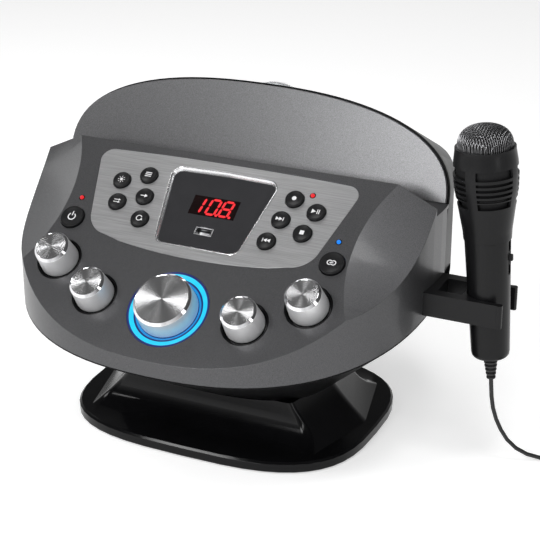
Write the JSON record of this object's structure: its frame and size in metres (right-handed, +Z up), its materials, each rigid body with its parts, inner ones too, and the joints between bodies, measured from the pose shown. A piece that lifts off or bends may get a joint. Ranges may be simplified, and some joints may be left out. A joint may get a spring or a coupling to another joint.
{
  "type": "karaoke machine with disc tray",
  "caption": "Portable karaoke machine with a sloped control panel, rear disc tray, tablet slot, pedestal and corded microphone in a side holder",
  "frame": {"origin": "middle of the base's underside, on the table", "axes": "+X to the machine's right seen from the front (the microphone's side), +Y to the back, +Z up"},
  "size_m": [0.4706, 0.294, 0.2494],
  "materials": {
    "black_gloss": "gloss black moulding",
    "black_matte": "matte black moulding",
    "grey_metallic": "dark grey metallic lacquer",
    "grey_rest": "satin grey",
    "brushed_plate": "brushed silver trim",
    "smoked_window": "smoked glossy window",
    "red_display": "red digits on a dark filter",
    "socket_steel": "pressed steel",
    "zinc_steel": "zinc-plated steel",
    "circuit_green": "circuit board",
    "knob_chrome": "spun and polished metal",
    "cyan_light": "lit light guide",
    "lamp_red": "clear lamp",
    "lamp_white": "white lamp board",
    "clear_dome": "clear faceted cap",
    "gear_nylon": "natural nylon",
    "speaker_black": "coated cone and steel basket",
    "battery_blue": "shrink sleeve",
    "socket_black": "socket bodies",
    "mic_satin": "satin black",
    "mesh_steel": "woven mesh, dark",
    "pad_rubber": "non-slip pad",
    "lead_rubber": "flexible black lead"
  },
  "bodies": {
    "body": {"pedestal": "black_gloss", "base_cover": "black_matte", "base_pad": "pad_rubber", "lower_shell": "black_gloss", "top_shell": "grey_metallic", "rear_shell": "black_gloss", "tablet_rest": "grey_rest", "trim_plate": "brushed_plate", "display_window": "smoked_window", "display_module": "red_display", "usb_socket": "socket_steel", "control_board": "circuit_green", "button_switches": "socket_steel", "potentiometers": "socket_steel", "knob_wells": "black_gloss", "light_ring": "cyan_light", "indicator_lamps": "lamp_red", "light_dome": "clear_dome", "light_board": "lamp_white", "drive_chassis": "zinc_steel", "spindle_motor": "zinc_steel", "loading_motor": "zinc_steel", "disc_clamp": "black_matte", "speakers": "speaker_black", "main_board": "circuit_green", "battery_pack": "battery_blue", "socket_panel": "black_gloss", "sockets": "socket_black", "case_screws": "zinc_steel", "mic_holder": "black_matte", "mic_handle": "mic_satin", "mic_head": "mic_satin", "mic_mesh": "mesh_steel", "strain_relief": "lead_rubber", "mic_lead": "lead_rubber", "lead_coil": "lead_rubber", "mic_plug": "black_matte"},
    "mic1_knob": {"mic1_knob": "knob_chrome"},
    "bass_knob": {"bass_knob": "knob_chrome"},
    "master_knob": {"master_knob": "knob_chrome"},
    "echo_knob": {"echo_knob": "knob_chrome"},
    "mic2_knob": {"mic2_knob": "knob_chrome"},
    "power_button": {"power_button": "black_gloss"},
    "pair_button": {"pair_button": "black_gloss"},
    "lights_button": {"lights_button": "black_gloss"},
    "mode_button": {"mode_button": "black_gloss"},
    "random_button": {"random_button": "black_gloss"},
    "skip_button": {"skip_button": "black_gloss"},
    "repeat_button": {"repeat_button": "black_gloss"},
    "record_button": {"record_button": "black_gloss"},
    "play_button": {"play_button": "black_gloss"},
    "next_button": {"next_button": "black_gloss"},
    "stop_button": {"stop_button": "black_gloss"},
    "previous_button": {"previous_button": "black_gloss"},
    "disc_tray": {"disc_tray": "black_matte", "tray_face": "black_gloss"},
    "loading_gear": {"loading_gear": "gear_nylon"},
    "turntable": {"turntable": "black_matte"},
    "laser_sled": {"laser_sled": "black_matte"},
    "mic_switch": {"mic_switch": "black_matte"}
  },
  "joints": [
    {"name": "mic1_turn", "type": "hinge", "parent": "body", "child": "mic1_knob", "pos_m": [-0.0967, -0.0862, 0.13596], "axis": [0, -0.5969, 0.8023], "range_deg": [-150, 150]},
    {"name": "bass_turn", "type": "hinge", "parent": "body", "child": "bass_knob", "pos_m": [-0.058, -0.10353, 0.12307], "axis": [0, -0.5969, 0.8023], "range_deg": [-150, 150]},
    {"name": "master_turn", "type": "hinge", "parent": "body", "child": "master_knob", "pos_m": [0, -0.10385, 0.12283], "axis": [0, -0.5969, 0.8023], "range_deg": [-150, 150]},
    {"name": "echo_turn", "type": "hinge", "parent": "body", "child": "echo_knob", "pos_m": [0.058, -0.10353, 0.12307], "axis": [0, -0.5969, 0.8023], "range_deg": [-150, 150]},
    {"name": "mic2_turn", "type": "hinge", "parent": "body", "child": "mic2_knob", "pos_m": [0.0967, -0.0862, 0.13596], "axis": [0, -0.5969, 0.8023], "range_deg": [-150, 150]},
    {"name": "power_press", "type": "slide", "parent": "body", "child": "power_button", "axis": [0, 0.5969, -0.8023], "range_m": [0, 0.0012], "stiffness_N_per_m": 500, "springref_m": -0.0006},
    {"name": "pair_press", "type": "slide", "parent": "body", "child": "pair_button", "axis": [0, 0.5969, -0.8023], "range_m": [0, 0.0012], "stiffness_N_per_m": 500, "springref_m": -0.0006},
    {"name": "lights_press", "type": "slide", "parent": "body", "child": "lights_button", "axis": [0, 0.5969, -0.8023], "range_m": [0, 0.0012], "stiffness_N_per_m": 500, "springref_m": -0.0006},
    {"name": "mode_press", "type": "slide", "parent": "body", "child": "mode_button", "axis": [0, 0.5969, -0.8023], "range_m": [0, 0.0012], "stiffness_N_per_m": 500, "springref_m": -0.0006},
    {"name": "random_press", "type": "slide", "parent": "body", "child": "random_button", "axis": [0, 0.5969, -0.8023], "range_m": [0, 0.0012], "stiffness_N_per_m": 500, "springref_m": -0.0006},
    {"name": "skip_press", "type": "slide", "parent": "body", "child": "skip_button", "axis": [0, 0.5969, -0.8023], "range_m": [0, 0.0012], "stiffness_N_per_m": 500, "springref_m": -0.0006},
    {"name": "repeat_press", "type": "slide", "parent": "body", "child": "repeat_button", "axis": [0, 0.5969, -0.8023], "range_m": [0, 0.0012], "stiffness_N_per_m": 500, "springref_m": -0.0006},
    {"name": "record_press", "type": "slide", "parent": "body", "child": "record_button", "axis": [0, 0.5969, -0.8023], "range_m": [0, 0.0012], "stiffness_N_per_m": 500, "springref_m": -0.0006},
    {"name": "play_press", "type": "slide", "parent": "body", "child": "play_button", "axis": [0, 0.5969, -0.8023], "range_m": [0, 0.0012], "stiffness_N_per_m": 500, "springref_m": -0.0006},
    {"name": "next_press", "type": "slide", "parent": "body", "child": "next_button", "axis": [0, 0.5969, -0.8023], "range_m": [0, 0.0012], "stiffness_N_per_m": 500, "springref_m": -0.0006},
    {"name": "stop_press", "type": "slide", "parent": "body", "child": "stop_button", "axis": [0, 0.5969, -0.8023], "range_m": [0, 0.0012], "stiffness_N_per_m": 500, "springref_m": -0.0006},
    {"name": "previous_press", "type": "slide", "parent": "body", "child": "previous_button", "axis": [0, 0.5969, -0.8023], "range_m": [0, 0.0012], "stiffness_N_per_m": 500, "springref_m": -0.0006},
    {"name": "tray_slide", "type": "slide", "parent": "body", "child": "disc_tray", "axis": [0, 1, 0], "range_m": [0, 0.125]},
    {"name": "loading_spin", "type": "hinge", "parent": "body", "child": "loading_gear", "pos_m": [0.046, 0.126, 0.148], "axis": [0, 0, 1], "range_deg": [0, 720]},
    {"name": "disc_spin", "type": "hinge", "parent": "body", "child": "turntable", "pos_m": [0, 0.085, 0.152], "axis": [0, 0, 1], "continuous": true},
    {"name": "sled_slide", "type": "slide", "parent": "body", "child": "laser_sled", "axis": [0, -1, 0], "range_m": [0, 0.024]},
    {"name": "mic_switch_slide", "type": "slide", "parent": "body", "child": "mic_switch", "axis": [-0.0802, 0, 0.9968], "range_m": [-0.0025, 0.0025]}
  ],
  "couplings": [
    {"joint": "loading_spin", "follows": "tray_slide", "rad_per_m": 100}
  ]
}
